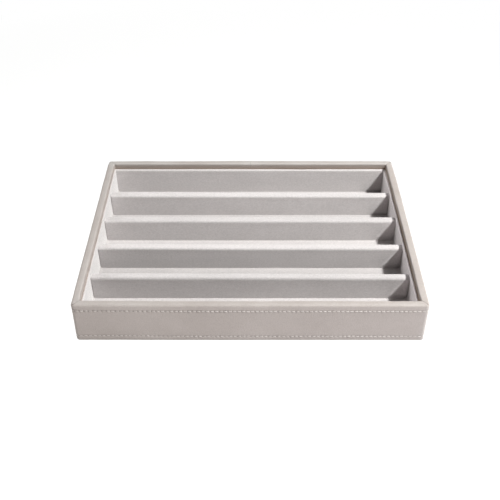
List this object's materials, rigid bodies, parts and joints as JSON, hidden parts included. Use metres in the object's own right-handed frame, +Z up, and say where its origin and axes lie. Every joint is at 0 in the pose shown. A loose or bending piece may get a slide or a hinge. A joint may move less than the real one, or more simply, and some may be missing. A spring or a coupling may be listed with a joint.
{
  "type": "jewelry tray",
  "caption": "Open rectangular jewelry tray with leatherette-wrapped walls, a recessed rim for stacking, and long velvet-lined compartments between fixed dividers.",
  "frame": {"origin": "centre of the face that the tray stands on (the underside of the base panel)", "axes": "+X along the width and the dividers, to the right seen from the front; +Y from the front wall to the back wall; +Z up"},
  "size_m": [0.25, 0.18, 0.04],
  "materials": {
    "leatherette": "fine-grained taupe leatherette, satin",
    "thread": "pale taupe sewing thread",
    "velvet": "pale grey short-pile velvet",
    "board": "plain fibreboard",
    "card": "plain grey card",
    "base_cloth": "warm grey felt-backed velvet"
  },
  "bodies": {
    "root": {"front_wall_board": "board", "back_wall_board": "board", "left_wall_board": "board", "right_wall_board": "board", "base_board": "board", "outer_wrap": "leatherette", "top_stitching": "thread", "bottom_stitching": "thread", "floor_card": "card", "floor_velvet": "velvet", "liner_front_card": "card", "liner_front_velvet": "velvet", "liner_back_card": "card", "liner_back_velvet": "velvet", "liner_left_card": "card", "liner_left_velvet": "velvet", "liner_right_card": "card", "liner_right_velvet": "velvet", "divider_1_core": "board", "divider_1_velvet": "velvet", "divider_2_core": "board", "divider_2_velvet": "velvet", "divider_3_core": "board", "divider_3_velvet": "velvet", "divider_4_core": "board", "divider_4_velvet": "velvet", "base_infill_card": "card", "base_panel_board": "board", "base_panel_cover": "base_cloth"}
  },
  "joints": []
}
